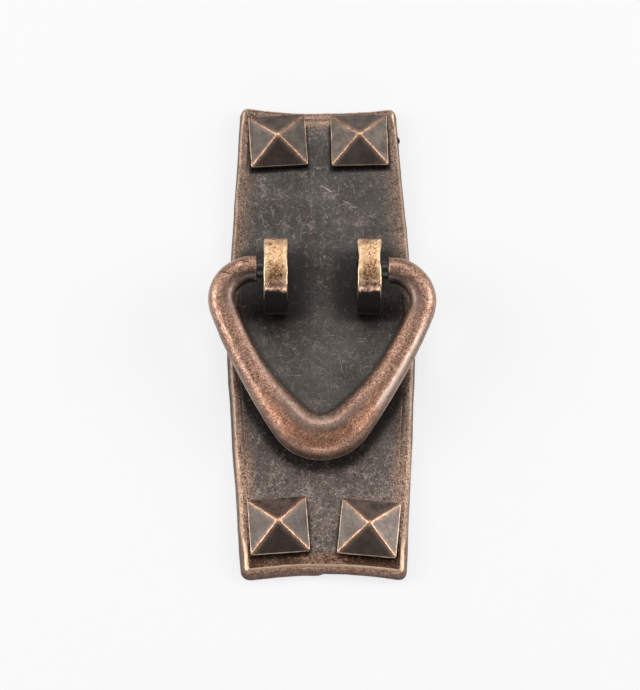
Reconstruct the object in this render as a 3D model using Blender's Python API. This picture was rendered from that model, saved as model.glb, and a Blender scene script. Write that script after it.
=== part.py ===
# Cabinet pull: a forged-look backplate with four pyramid studs, two standing posts and a swinging bail.
# It lies on its back. +Z is out of the plate, +Y is its upper end, and the origin is the middle of its back face.

import math

import bmesh
import bpy
from mathutils import Matrix, Vector, noise

# Backplate, in metres
PLATE_LENGTH = 0.1150
PLATE_MID_WIDTH = 0.0420
PLATE_END_WIDTH = 0.0355
PLATE_THICKNESS = 0.0030
END_HOLLOW = 0.00135
END_SLANT = 0.0003
MIDDLE_SOFTENING = 0.0060
CORNER_RADIUS = 0.0017
EDGE_WAVER = 0.00016
EDGE_WAVE_LENGTH = 0.0110
WALL_DRAFT = 0.00015
LEFT_FLARE = 0.0003
FLARE_START = 0.0200
BASE_CHAMFER = 0.00025
RIM_RADIUS = 0.0015
RIM_WIDTH = 0.0005
RIM_SLOPE_WIDTH = 0.0005
FIELD_DROP = 0.00015
DENT_DEPTH = 0.00022
DENT_LENGTH = 0.0085

# Studs: head side, wall, point, and the shank peened over in a countersink at the back
STUD_SIDE = 0.01303
STUD_WALL = 0.0009
STUD_POINT_HEIGHT = 0.0032
STUD_APEX_SIDE = 0.0006
STUD_EDGE_RADIUS = 0.00028
WORN_EDGE_ANGLE_DEG = 24
STUD_SHANK_RADIUS = 0.0015
STUD_TAIL_RADIUS = 0.0024
STUD_TAIL_DEPTH = 0.0009
STUD_TOP_FROM_END = 0.0094
STUD_BOTTOM_FROM_END = 0.0111
STUD_TOP_X = 0.0093
STUD_BOTTOM_X = 0.0099
STUD_BOTTOM_STAGGER = 0.0004
STUD_TURN_DEG = {"top_left": 3.0, "top_right": 0.8, "bottom_left": 3.6, "bottom_right": -6.2}

# Pivot axis of the bail
PIVOT_X = 0.0004
PIVOT_Y = 0.0113
PIVOT_ABOVE_PLATE = 0.0100
AXIS_SKEW_DEG = -0.7

# Posts
POST_SPACING = 0.0208
POST_THICKNESS = 0.0055
POST_DEPTH = 0.0130
POST_HEIGHT = 0.0138
POST_DOME = 0.0007
POST_FRONT_RADIUS = 0.0024
POST_REAR_RADIUS = 0.0010
POST_CHAMFER = 0.00045
POST_CROWN_DIP = 0.00018
POST_PINCH = {"left": 0.00008, "right": 0.00030}
POST_PINCH_LENGTH = 0.0024
TENON_RADIUS = 0.0026
SCREW_HOLE_RADIUS = 0.00165
SCREW_HOLE_DEPTH = 0.0080

# Bail: centreline of straight arms, bends, long limbs and the bottom curve, and its two thicknesses
BAIL_HALF_WIDTH = 0.0223
BAIL_DROP = 0.03835
BAIL_LEFT_BEND_RADIUS = 0.0069
BAIL_RIGHT_BEND_RADIUS = 0.0071
BAIL_LIMB_RADIUS = 0.0820
BAIL_BOTTOM_RADIUS = 0.0081
BAIL_ARM_WIDTH = 0.0059
BAIL_BOTTOM_WIDTH = 0.01025
BAIL_ARM_THICKNESS = 0.0055
BAIL_BOTTOM_THICKNESS = 0.0081
BAIL_SWELL_LENGTH = 0.0150
BAIL_SQUARENESS = 2.25
BAIL_RIDGE_HEIGHT = 0.00016
BAIL_RIDGE_HALF_ANGLE_DEG = 6.0
BAIL_END_CHAMFER = 0.0004
BAIL_TURN_DEG = -0.6
ARM_CLEARANCE = 0.0014
SPIGOT_RADIUS = 0.0020
SPIGOT_END_SETBACK = 0.0005

# Fits
SEAT_GAP = 0.0003
SHANK_CLEARANCE = 0.0003
PIVOT_CLEARANCE = 0.0003
BAIL_REST_GAP = 0.0003
CUT_OVERRUN = 0.0010

# Facets
SIDE_STEPS = 30
END_STEPS = 10
CORNER_STEPS = 4
RIM_STEPS = 4
STUD_STEPS_PER_SIDE = 4
STUD_ROUNDING_STEPS = 2
SHOULDER_STEPS = 4
DOME_STEPS = 8
HOLE_STEPS = 24
BEND_STEPS = 9
LIMB_STEPS = 12
BOTTOM_STEPS = 9
SECTION_STEPS = 18

PLATE_TOP = PLATE_THICKNESS
PIVOT_Z = PLATE_TOP + PIVOT_ABOVE_PLATE
HEAD_BASE = PLATE_TOP + SEAT_GAP


def clear_scene():
    for old in list(bpy.data.objects):
        bpy.data.objects.remove(old, do_unlink=True)


def metal(name, colour, roughness):
    material = bpy.data.materials.new(name)
    material.use_nodes = True
    shader = material.node_tree.nodes["Principled BSDF"]
    shader.inputs["Base Color"].default_value = (*colour, 1)
    shader.inputs["Metallic"].default_value = 0.9
    shader.inputs["Roughness"].default_value = roughness
    return material


def loft(rings):
    """Closed solid through rings of equal length, with a face over the first and the last."""
    mesh = bmesh.new()
    rows = [[mesh.verts.new(point) for point in ring] for ring in rings]
    for low, high in zip(rows, rows[1:]):
        for i in range(len(low)):
            j = (i + 1) % len(low)
            mesh.faces.new((low[i], low[j], high[j], high[i]))
    mesh.faces.new(list(reversed(rows[0])))
    mesh.faces.new(rows[-1])
    return mesh


def finish(mesh, name, material, sharp_deg=30):
    bmesh.ops.recalc_face_normals(mesh, faces=mesh.faces)
    data = bpy.data.meshes.new(name)
    mesh.to_mesh(data)
    mesh.free()
    data.shade_smooth()
    data.set_sharp_from_angle(angle=math.radians(sharp_deg))
    if material:
        data.materials.append(material)
    piece = bpy.data.objects.new(name, data)
    bpy.context.collection.objects.link(piece)
    return piece


def guide(piece):
    piece.hide_render = True
    piece.display_type = "WIRE"
    return piece


def cylinder(name, radius, length, matrix):
    """Round guide along its local Z, centred, used to cut or to join."""
    mesh = bmesh.new()
    bmesh.ops.create_cone(mesh, cap_ends=True, segments=HOLE_STEPS, radius1=radius, radius2=radius, depth=length)
    piece = guide(finish(mesh, name, None))
    piece.matrix_world = matrix
    return piece


def boolean(piece, other, operation):
    cut = piece.modifiers.new(operation.title() + " " + other.name, "BOOLEAN")
    cut.operation = operation
    cut.object = other


def along_z(low, high, x=0.0):
    return Matrix.Translation((x, 0, (low + high) / 2))


def pivot_frame():
    """The posts and the bail stand a little askew on the plate, about a point on the pivot axis."""
    frame = bpy.data.objects.new("pivot_frame", None)
    frame.location = (PIVOT_X, PIVOT_Y, 0)
    frame.rotation_euler.z = math.radians(AXIS_SKEW_DEG)
    bpy.context.collection.objects.link(frame)
    bpy.context.view_layer.update()
    return frame


def softened(y):
    return math.hypot(y, MIDDLE_SOFTENING) - MIDDLE_SOFTENING


def half_width(y):
    way = softened(y) / softened(PLATE_LENGTH / 2)
    return PLATE_MID_WIDTH / 2 - (PLATE_MID_WIDTH - PLATE_END_WIDTH) / 2 * way


def half_length(x):
    return PLATE_LENGTH / 2 - END_HOLLOW * (1 - (2 * x / PLATE_END_WIDTH) ** 2)


def slope(curve, at):
    step = 1e-5
    return (curve(at + step) - curve(at - step)) / (2 * step)


def plate_corner(inset):
    x, y = PLATE_END_WIDTH / 2, PLATE_LENGTH / 2
    for _ in range(6):
        x = half_width(y) - inset
        y = half_length(x) - inset
    return Vector((x, y))


def corner_arc(inset):
    """Points round the upper right corner, from the side to the end, CORNER_STEPS segments."""
    corner = plate_corner(inset)
    down = Vector((-slope(half_width, corner.y), -1)).normalized()
    across = Vector((-1, -slope(half_length, corner.x))).normalized()
    half = down.angle(across) / 2
    radius = max(CORNER_RADIUS - inset, CORNER_RADIUS / 5)
    centre = corner + (down + across).normalized() * radius / math.sin(half)
    start = corner + down * radius / math.tan(half) - centre
    sweep = math.pi - 2 * half
    return [centre + Matrix.Rotation(sweep * i / CORNER_STEPS, 2) @ start for i in range(CORNER_STEPS + 1)]


def slanted(point):
    """Both ends were cut a little out of square."""
    return Vector((point.x, point.y - END_SLANT * 2 * point.x / PLATE_END_WIDTH))


def plate_outline(inset):
    """Anticlockwise outline inside the face's edge, starting at the foot of the right side."""
    arc = corner_arc(inset)
    side = [arc[0].y * (2 * i / SIDE_STEPS - 1) for i in range(1, SIDE_STEPS)]
    end = [arc[-1].x * (1 - 2 * i / END_STEPS) for i in range(1, END_STEPS)]
    right = [Vector((half_width(y) - inset, y)) for y in side]
    top = [Vector((x, half_length(x) - inset)) for x in end]
    half = right + arc + top + [Vector((-p.x, p.y)) for p in reversed(arc)]
    return [slanted(p) for p in half + [-p for p in half]]


def outward(points):
    count = len(points)
    along = [points[(i + 1) % count] - points[i - 1] for i in range(count)]
    return [Vector((a.y, -a.x)).normalized() for a in along]


def waver(point):
    return EDGE_WAVER * noise.noise(Vector((point.x, point.y, 0)) / EDGE_WAVE_LENGTH)


def plate_ring(inset, height, spread=None):
    points = plate_outline(inset)
    ring = []
    for point, normal in zip(points, outward(points)):
        out = waver(point) + (spread(point) if spread else 0)
        ring.append(Vector((*(point + normal * out), height)))
    return ring


def base_spread(point):
    """The wall leans out to the base, most of all down the lower part of the left side."""
    down = min(max((FLARE_START - point.y) / (PLATE_LENGTH / 2), 0), 1)
    left = min(max(-point.x / (PLATE_END_WIDTH / 2), 0), 1)
    return WALL_DRAFT + LEFT_FLARE * down * left ** 2


def dent(point):
    """Shallow hammer marks, which only go down."""
    value = noise.noise(Vector((point.x, point.y, 0.3)) / DENT_LENGTH)
    return -DENT_DEPTH * min(max(0.5 + value, 0), 1)


def field_grid(mesh, border):
    """Fills the face inside the rim: a grid blended between its four sides, with its hammer marks."""
    count = len(border)
    rows = SIDE_STEPS + CORNER_STEPS
    columns = END_STEPS + CORNER_STEPS
    start = -(CORNER_STEPS // 2) - 1
    right = [border[(start + i) % count] for i in range(rows + 1)]
    top = [border[(start + rows + i) % count] for i in range(columns + 1)][::-1]
    left = [border[(start + rows + columns + i) % count] for i in range(rows + 1)][::-1]
    bottom = [border[(start + 2 * rows + columns + i) % count] for i in range(columns + 1)]
    grid = [[None] * (columns + 1) for _ in range(rows + 1)]
    for j in range(rows + 1):
        for i in range(columns + 1):
            if i in (0, columns):
                grid[j][i] = (left if i == 0 else right)[j]
                continue
            if j in (0, rows):
                grid[j][i] = (bottom if j == 0 else top)[i]
                continue
            s, t = i / columns, j / rows
            sides = left[j].co.lerp(right[j].co, s) + bottom[i].co.lerp(top[i].co, t)
            corners = left[0].co.lerp(right[0].co, s).lerp(left[rows].co.lerp(right[rows].co, s), t)
            point = sides - corners
            point.z += dent(point)
            grid[j][i] = mesh.verts.new(point)
    for j in range(rows):
        for i in range(columns):
            mesh.faces.new((grid[j][i], grid[j][i + 1], grid[j + 1][i + 1], grid[j + 1][i]))


def plate_rings():
    rings = [
        plate_ring(0, 0, lambda point: base_spread(point) - BASE_CHAMFER),
        plate_ring(0, BASE_CHAMFER, base_spread),
    ]
    for i in range(RIM_STEPS + 1):
        angle = math.pi / 2 * i / RIM_STEPS
        height = PLATE_TOP - RIM_RADIUS * (1 - math.sin(angle))
        rings.append(plate_ring(RIM_RADIUS * (1 - math.cos(angle)), height))
    rings.append(plate_ring(RIM_RADIUS + RIM_WIDTH, PLATE_TOP))
    rings.append(plate_ring(RIM_RADIUS + RIM_WIDTH + RIM_SLOPE_WIDTH, PLATE_TOP - FIELD_DROP))
    return rings


def make_backplate(material, stud_places, frame):
    mesh = loft(plate_rings())
    mesh.faces.ensure_lookup_table()
    cover = mesh.faces[-1]
    border = list(cover.verts)
    mesh.faces.remove(cover)
    field_grid(mesh, border)
    plate = finish(mesh, "backplate", material)
    for place in stud_places.values():
        boolean(plate, stud_hole(place), "DIFFERENCE")
    for side in (-1, 1):
        hole = along_z(-CUT_OVERRUN, PLATE_TOP + CUT_OVERRUN, side * POST_SPACING / 2)
        length = PLATE_TOP + 2 * CUT_OVERRUN
        radius = TENON_RADIUS + SHANK_CLEARANCE
        boolean(plate, cylinder("tenon_hole", radius, length, frame.matrix_world @ hole), "DIFFERENCE")


def circle(radius, height):
    count = 4 * STUD_STEPS_PER_SIDE
    angles = [math.pi / 4 + math.tau * i / count for i in range(count)]
    return [Vector((radius * math.cos(a), radius * math.sin(a), height)) for a in angles]


def square(side, height):
    """As many points as circle() has, four of them at the corners."""
    points = []
    for turn in range(4):
        for i in range(STUD_STEPS_PER_SIDE):
            along = side * (0.5 - i / STUD_STEPS_PER_SIDE)
            points.append(Matrix.Rotation(turn * math.pi / 2, 3, "Z") @ Vector((along, side / 2, height)))
    return points


def stud_hole(place):
    radius = STUD_SHANK_RADIUS + SHANK_CLEARANCE
    mouth = STUD_TAIL_RADIUS + SHANK_CLEARANCE
    widening = mouth - radius
    mesh = loft([
        circle(mouth + widening * CUT_OVERRUN / STUD_TAIL_DEPTH, -CUT_OVERRUN),
        circle(radius, STUD_TAIL_DEPTH),
        circle(radius, PLATE_TOP + CUT_OVERRUN),
    ])
    hole = guide(finish(mesh, "stud_hole", None))
    hole.matrix_world = place
    return hole


def make_studs(material, places):
    eave = HEAD_BASE + STUD_WALL
    mesh = loft([
        circle(STUD_TAIL_RADIUS, 0),
        circle(STUD_SHANK_RADIUS, STUD_TAIL_DEPTH),
        circle(STUD_SHANK_RADIUS, HEAD_BASE),
        square(STUD_SIDE, HEAD_BASE),
        square(STUD_SIDE, eave),
        square(STUD_APEX_SIDE, eave + STUD_POINT_HEIGHT),
    ])
    first = finish(mesh, "stud", material)
    for name, place in places.items():
        stud = bpy.data.objects.new("stud_" + name, first.data)
        stud.matrix_world = place
        bpy.context.collection.objects.link(stud)
        edges = stud.modifiers.new("Worn edges", "BEVEL")
        edges.width = STUD_EDGE_RADIUS
        edges.segments = STUD_ROUNDING_STEPS
        edges.limit_method = "ANGLE"
        edges.angle_limit = math.radians(WORN_EDGE_ANGLE_DEG)
    bpy.data.objects.remove(first)


def stud_places():
    top = PLATE_LENGTH / 2 - STUD_TOP_FROM_END
    bottom = STUD_BOTTOM_FROM_END - PLATE_LENGTH / 2
    middles = {
        "top_left": (-STUD_TOP_X, top),
        "top_right": (STUD_TOP_X, top),
        "bottom_left": (-STUD_BOTTOM_X, bottom + STUD_BOTTOM_STAGGER),
        "bottom_right": (STUD_BOTTOM_X, bottom - STUD_BOTTOM_STAGGER),
    }
    places = {}
    for name, middle in middles.items():
        turn = Matrix.Rotation(math.radians(STUD_TURN_DEG[name]), 4, "Z")
        places[name] = Matrix.Translation((*middle, 0)) @ turn
    return places


def shoulder_arc(half, radius, height):
    """Rounding from an upright edge at Y = half up onto the crown, as (y, z), and the foot of it."""
    start = height - radius
    points = [(half, start / 2), (half, start)]
    for i in range(1, SHOULDER_STEPS + 1):
        angle = math.pi / 2 * i / SHOULDER_STEPS
        points.append((half - radius * (1 - math.cos(angle)), start + radius * math.sin(angle)))
    return points


def post_outline(inset, dip):
    """Side view of a post in Y and Z, anticlockwise from its front foot. The crown is domed and
    rolls over at the front, while its rear edge is nearly square."""
    half = POST_DEPTH / 2 - inset
    crown = POST_HEIGHT - inset - POST_DOME
    rear = shoulder_arc(half, POST_REAR_RADIUS, crown)
    front = [(-y, z) for y, z in reversed(shoulder_arc(half, POST_FRONT_RADIUS, crown))]
    start, end = rear[-1][0], front[0][0]
    dome = []
    for i in range(1, DOME_STEPS):
        share = i / DOME_STEPS
        rise = (POST_DOME - dip) * 4 * share * (1 - share)
        dome.append((start + (end - start) * share, crown + rise))
    return [(-half, inset), (half, inset)] + rear + dome + front


def post_mesh(pinch):
    half = POST_THICKNESS / 2
    slices = [
        (-half, POST_CHAMFER, 0),
        (-half + 0.3 * POST_CHAMFER, 0.3 * POST_CHAMFER, 0),
        (-half + POST_CHAMFER, 0, 0),
        (0, 0, POST_CROWN_DIP),
        (half - POST_CHAMFER, 0, 0),
        (half - 0.3 * POST_CHAMFER, 0.3 * POST_CHAMFER, 0),
        (half, POST_CHAMFER, 0),
    ]
    rings = []
    for x, inset, dip in slices:
        ring = []
        for y, z in post_outline(inset, dip):
            waist = pinch * math.exp(-((y - POST_PINCH_LENGTH / 2) / POST_PINCH_LENGTH) ** 2)
            ring.append(Vector((x * (1 - waist / half), y, z)))
        rings.append(ring)
    return loft(rings)


def make_post(name, side, material, frame):
    """A lug with its pivot hole, a tenon through the plate and a blind screw hole from the back."""
    post = finish(post_mesh(POST_PINCH[name]), "post_" + name, material)
    place = frame.matrix_world @ Matrix.Translation((side * POST_SPACING / 2, 0, 0))
    post.matrix_world = place @ Matrix.Translation((0, 0, HEAD_BASE))
    tenon_top = HEAD_BASE + POST_THICKNESS / 2
    tenon = cylinder("tenon", TENON_RADIUS, tenon_top, place @ along_z(0, tenon_top))
    boolean(post, tenon, "UNION")
    screw_length = SCREW_HOLE_DEPTH + CUT_OVERRUN
    screw_place = place @ along_z(-CUT_OVERRUN, SCREW_HOLE_DEPTH)
    boolean(post, cylinder("screw_hole", SCREW_HOLE_RADIUS, screw_length, screw_place), "DIFFERENCE")
    pivot_place = place @ Matrix.Translation((0, 0, PIVOT_Z)) @ Matrix.Rotation(math.pi / 2, 4, "Y")
    radius = SPIGOT_RADIUS + PIVOT_CLEARANCE
    length = POST_THICKNESS + 2 * CUT_OVERRUN
    boolean(post, cylinder("pivot_hole", radius, length, pivot_place), "DIFFERENCE")


def bail_centres(bend_radius):
    """Centres of the bend, the long limb's arc and the bottom curve, for the right half.
    The limb's arc touches the other two from outside, so its centre is where two circles meet."""
    bend = Vector((BAIL_HALF_WIDTH - bend_radius, bend_radius))
    bottom = Vector((0, BAIL_DROP - BAIL_BOTTOM_RADIUS))
    reach_bend = BAIL_LIMB_RADIUS - bend_radius
    reach_bottom = BAIL_LIMB_RADIUS - BAIL_BOTTOM_RADIUS
    apart = bottom - bend
    along = (reach_bend ** 2 - reach_bottom ** 2 + apart.length_squared) / (2 * apart.length)
    across = math.sqrt(reach_bend ** 2 - along ** 2)
    way = apart.normalized()
    limb = bend + way * along + Vector((-way.y, way.x)) * across
    return bend, limb, bottom


def arc(centre, radius, start, end, steps):
    """Points of an arc with its outward direction, without the last one."""
    found = []
    for i in range(steps):
        angle = start + (end - start) * i / steps
        way = Vector((math.cos(angle), math.sin(angle)))
        found.append((centre + way * radius, way))
    return found


def bail_half(bend_radius):
    """Centreline of the right half, from the arm's end face towards the lowest point."""
    bend, limb, bottom = bail_centres(bend_radius)
    to_bend = bend - limb
    to_bottom = bottom - limb
    bend_end = math.atan2(to_bend.y, to_bend.x)
    limb_end = math.atan2(to_bottom.y, to_bottom.x)
    face = POST_SPACING / 2 + POST_THICKNESS / 2 + ARM_CLEARANCE
    half = [(Vector((face, 0)), Vector((0, -1)))]
    half += arc(bend, bend_radius, -math.pi / 2, bend_end, BEND_STEPS)
    half += arc(limb, BAIL_LIMB_RADIUS, bend_end, limb_end, LIMB_STEPS)
    return half + arc(bottom, BAIL_BOTTOM_RADIUS, limb_end, math.pi / 2, BOTTOM_STEPS)


def bail_path():
    """Centreline from the right arm's end face to the left one's, as (point, outward direction).
    X is across, and the second number is the distance below the pivot axis."""
    right = bail_half(BAIL_RIGHT_BEND_RADIUS)
    left = bail_half(BAIL_LEFT_BEND_RADIUS)
    lowest = (Vector((0, BAIL_DROP)), Vector((0, 1)))
    mirrored = [(Vector((-p.x, p.y)), Vector((-n.x, n.y))) for p, n in reversed(left)]
    return right + [lowest] + mirrored


def swell(path):
    """How far the bail has thickened at each point: 1 at the bottom, falling away along both limbs."""
    lengths = [0]
    for (a, _), (b, _) in zip(path, path[1:]):
        lengths.append(lengths[-1] + (b - a).length)
    lowest = lengths[len(lengths) // 2]
    return [math.exp(-((length - lowest) / BAIL_SWELL_LENGTH) ** 2) for length in lengths]


def bail_section(centre, way, width, thickness, ridge):
    """One ring of the bail: a squared ellipse with a fine parting ridge along its outer side."""
    edge = BAIL_RIDGE_HALF_ANGLE_DEG
    angles = [-edge, 0] + [edge + (360 - 2 * edge) * i / SECTION_STEPS for i in range(SECTION_STEPS)]
    power = 2 / BAIL_SQUARENESS
    ring = []
    for degrees in angles:
        angle = math.radians(degrees)
        across = math.copysign(abs(math.cos(angle)) ** power, math.cos(angle)) * width / 2
        up = math.copysign(abs(math.sin(angle)) ** power, math.sin(angle)) * thickness / 2
        if degrees == 0:
            across += ridge
        point = centre + way * across
        ring.append(Vector((point.x, -point.y, up)))
    return ring


def bail_rings():
    path = bail_path()
    middle = []
    for (centre, way), share in zip(path, swell(path)):
        width = BAIL_ARM_WIDTH + (BAIL_BOTTOM_WIDTH - BAIL_ARM_WIDTH) * share
        thickness = BAIL_ARM_THICKNESS + (BAIL_BOTTOM_THICKNESS - BAIL_ARM_THICKNESS) * share
        middle.append(bail_section(centre, way, width, thickness, BAIL_RIDGE_HEIGHT))
    face = path[0][0].x
    spigot_end = POST_SPACING / 2 - POST_THICKNESS / 2 + SPIGOT_END_SETBACK
    up = Vector((0, -1))
    narrow = BAIL_ARM_WIDTH - 2 * BAIL_END_CHAMFER
    thin = BAIL_ARM_THICKNESS - 2 * BAIL_END_CHAMFER
    behind_chamfer = Vector((face + BAIL_END_CHAMFER, 0))
    start = [
        spigot_ring(spigot_end, up),
        spigot_ring(face, up),
        bail_section(Vector((face, 0)), up, narrow, thin, 0),
        bail_section(behind_chamfer, up, BAIL_ARM_WIDTH, BAIL_ARM_THICKNESS, BAIL_RIDGE_HEIGHT),
    ]
    return start + middle[1:-1] + [mirrored_ring(ring) for ring in reversed(start)]


def spigot_ring(x, up):
    size = 2 * SPIGOT_RADIUS
    ring = bail_section(Vector((x, 0)), up, size, size, 0)
    return [Vector((x, *(Vector((p.y, p.z)).normalized() * SPIGOT_RADIUS))) for p in ring]


def mirrored_ring(ring):
    return [Vector((-p.x, p.y, p.z)) for p in ring]


def make_bail(material, frame):
    """The spigots' play in the posts lets the bail lie turned a little in its plane."""
    bail = finish(loft(bail_rings()), "bail", material, 40)
    rest_height = PLATE_TOP + BAIL_REST_GAP + BAIL_BOTTOM_THICKNESS / 2
    rest_tilt = math.asin((PIVOT_Z - rest_height) / BAIL_DROP)
    place = Matrix.Translation((0, 0, PIVOT_Z)) @ Matrix.Rotation(rest_tilt, 4, "X")
    turn = Matrix.Rotation(math.radians(BAIL_TURN_DEG), 4, "Z")
    bail.matrix_world = frame.matrix_world @ turn @ place


def main():
    clear_scene()
    dark = metal("plate_bronze", (0.085, 0.075, 0.068), 0.55)
    smooth = metal("stud_bronze", (0.110, 0.092, 0.080), 0.45)
    bright = metal("post_copper", (0.480, 0.300, 0.180), 0.42)
    warm = metal("bail_copper", (0.330, 0.190, 0.130), 0.40)
    frame = pivot_frame()
    places = stud_places()
    make_backplate(dark, places, frame)
    make_studs(smooth, places)
    make_post("left", -1, bright, frame)
    make_post("right", 1, bright, frame)
    make_bail(warm, frame)


main()
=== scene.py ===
# Cabinet pull in dark bronze with worn copper edges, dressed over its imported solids.
# Lengths in the dictionaries are millimetres.

import math

import bmesh
import bpy
from mathutils import Matrix, Vector, kdtree, noise


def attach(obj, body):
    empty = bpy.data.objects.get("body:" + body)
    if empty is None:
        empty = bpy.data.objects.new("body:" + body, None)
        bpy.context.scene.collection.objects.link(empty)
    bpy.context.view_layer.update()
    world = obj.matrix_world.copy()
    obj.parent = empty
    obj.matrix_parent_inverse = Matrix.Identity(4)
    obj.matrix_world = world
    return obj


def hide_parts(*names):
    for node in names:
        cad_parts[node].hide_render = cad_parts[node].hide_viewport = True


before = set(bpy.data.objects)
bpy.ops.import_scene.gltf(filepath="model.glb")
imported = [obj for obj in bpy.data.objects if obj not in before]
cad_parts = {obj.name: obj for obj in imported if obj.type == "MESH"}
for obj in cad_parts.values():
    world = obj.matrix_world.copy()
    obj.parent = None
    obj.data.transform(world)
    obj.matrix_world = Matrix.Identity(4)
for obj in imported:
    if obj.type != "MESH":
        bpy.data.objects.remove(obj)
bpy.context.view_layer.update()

mm = 0.001
coatRoughness = 0.28


# shader helpers

class Wire:
    # one shader socket, so that sums of sockets can be written as plain maths
    def __init__(self, paint, socket):
        self.paint = paint
        self.socket = socket

    def maths(self, operation, first, second):
        return self.paint.node("Math", {"operation": operation}, {0: first, 1: second})

    def __add__(self, other):
        return self.maths("ADD", self, other)

    def __sub__(self, other):
        return self.maths("SUBTRACT", self, other)

    def __rsub__(self, other):
        return self.maths("SUBTRACT", other, self)

    def __mul__(self, other):
        return self.maths("MULTIPLY", self, other)

    __radd__, __rmul__ = __add__, __mul__

    def __abs__(self):
        return self.maths("ABSOLUTE", self, 0)

    def step(self, low, high, first=0.0, last=1.0):  # first below low, last above high, smooth between
        return self.paint.node("MapRange", {"interpolation_type": "SMOOTHSTEP"},
                               {0: self, 1: low, 2: high, 3: first, 4: last})

    def fall(self, low, high):
        return 1 - self.step(low, high)


class Paint:
    def __init__(self, owner, colours, seed=0.0, output="OutputMaterial"):
        owner.use_nodes = True
        self.owner = owner  # a material, or the world
        self.colours = colours
        self.tree = owner.node_tree
        self.tree.nodes.clear()
        self.seed = seed
        self.output = self.tree.nodes.new("ShaderNode" + output)

    def node(self, kind, settings, sockets, result=0):
        made = self.tree.nodes.new("ShaderNode" + kind)
        for key, value in settings.items():
            setattr(made, key, value)
        for key, value in sockets.items():
            if isinstance(value, Wire):
                self.tree.links.new(value.socket, made.inputs[key])
            else:
                made.inputs[key].default_value = value
        return Wire(self, made.outputs[result])

    def show(self, shader):
        self.tree.links.new(shader.socket, self.output.inputs["Surface"])
        return self.owner

    def mark(self, name):  # a number kept on the mesh's points
        return self.node("Attribute", {"attribute_name": name}, {}, 2)

    def part(self, vector, axis):
        return self.node("SeparateXYZ", {}, {0: vector}, "XYZ".index(axis))

    def noise(self, scale, detail, rough, shift, spot=None, twist=0.0, result=0):
        return self.node("TexNoise", {"noise_dimensions": "4D"}, {
            "Vector": spot or self.spot, "W": self.seed + shift, "Scale": scale, "Detail": detail,
            "Roughness": rough, "Distortion": twist}, result)

    def most(self, first, *others):
        for other in others:
            first = self.node("Math", {"operation": "MAXIMUM"}, {0: first, 1: other})
        return first

    def least(self, first, second):
        return self.node("Math", {"operation": "MINIMUM"}, {0: first, 1: second})

    def blend(self, share, first, second):
        first, second = [c if isinstance(c, Wire) else (*self.colours[c], 1) for c in (first, second)]
        return self.node("Mix", {"data_type": "RGBA"}, {0: share, 6: first, 7: second}, 2)

    def lay(self, share, colour):  # one more colour over what is there
        self.base = self.blend(share, self.base, colour)

    def stretched(self, scale, turnDeg):  # the same place, drawn out along one direction
        turn = (0, 0, math.radians(turnDeg))
        return self.node("Mapping", {}, {0: self.spot, "Rotation": turn, "Scale": scale})

    def hairlines(self, cell, width, shift, wobble=0.9):
        # thin wandering lines, the walls of cells whose places are bent by noise
        bent = self.noise(0.6, 2, 0.5, shift, result=1)
        off = self.node("VectorMath", {"operation": "SCALE"}, {0: bent, "Scale": wobble * cell})
        place = self.node("VectorMath", {"operation": "ADD"}, {0: self.spot, 1: off})
        gap = self.node("TexVoronoi", {"feature": "DISTANCE_TO_EDGE"}, {"Vector": place, "Scale": 1 / cell})
        return gap.fall(0.0, width / cell)

    def beside(self, line):
        # distance in plan from a straight scratch between two points
        x0, y0, x1, y1 = line
        long = math.hypot(x1 - x0, y1 - y0)
        ux, uy = (x1 - x0) / long, (y1 - y0) / long
        x, y = self.part(self.spot, "X") - x0, self.part(self.spot, "Y") - y0
        off = self.most(abs(x * ux + y * uy - long / 2) - long / 2, 0.0)
        return abs(x * uy - y * ux) + off

    def metal(self, metallic, roughness, height, coat=0.0):
        bump = self.node("Bump", {}, {"Height": height, "Distance": mm, "Strength": 1.0})
        shader = self.node("BsdfPrincipled", {}, {
            "Base Color": self.base, "Metallic": metallic, "Roughness": roughness, "Normal": bump,
            "Coat Weight": coat, "Coat Roughness": coatRoughness})
        return self.show(shader)


def metalPaint(name, seed, colours):
    paint = Paint(bpy.data.materials.new(name), colours, seed)
    paint.spot = paint.node("Attribute", {"attribute_name": "spot"}, {}, 1)  # millimetres, by piece
    return paint


# mesh helpers

def clamped(value):
    return min(max(value, 0), 1)


def loft(rings, names):
    # rings of (place, marks), as many points in each; both ends are closed
    mesh = bmesh.new()
    layers = [mesh.verts.layers.float.new(name) for name in names]
    rows = []
    for ring in rings:
        row = []
        for place, marks in ring:
            vert = mesh.verts.new(Vector(place) * mm)
            for layer, value in zip(layers, marks):
                vert[layer] = value
            row.append(vert)
        rows.append(row)
    for low, high in zip(rows, rows[1:]):
        for i in range(len(low)):
            j = (i + 1) % len(low)
            mesh.faces.new((low[i], low[j], high[j], high[i]))
    mesh.faces.new(list(reversed(rows[0])))
    mesh.faces.new(rows[-1])
    return mesh


def wear(mesh, bumps, seed, where):
    # lets the skin sink, never rise, at the points picked by where: bumps are (size, depth) pairs
    bmesh.ops.recalc_face_normals(mesh, faces=mesh.faces)
    mesh.normal_update()
    for vert in [vert for vert in mesh.verts if where(vert)]:
        spot = vert.co / mm
        sink = 0
        for size, depth in bumps:
            sink += depth * clamped(0.5 + noise.noise(spot / size + Vector((seed, 0, 0))))
        vert.co -= vert.normal * sink * mm


def placed(name, data):
    made = bpy.data.objects.new(name, data)
    bpy.context.collection.objects.link(made)
    return made


def piece(mesh, name, sharpDeg=35):
    bmesh.ops.recalc_face_normals(mesh, faces=mesh.faces)
    data = bpy.data.meshes.new(name)
    mesh.to_mesh(data)
    mesh.free()
    data.shade_smooth()
    data.set_sharp_from_angle(angle=math.radians(sharpDeg))
    return placed(name, data)


def turned(profile, steps=48):
    # a round solid from (radius, height) pairs
    rings = []
    for radius, z in profile:
        angles = [math.tau * i / steps for i in range(steps)]
        rings.append([((radius * math.cos(angle), radius * math.sin(angle), z), ()) for angle in angles])
    return loft(rings, ())


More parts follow.
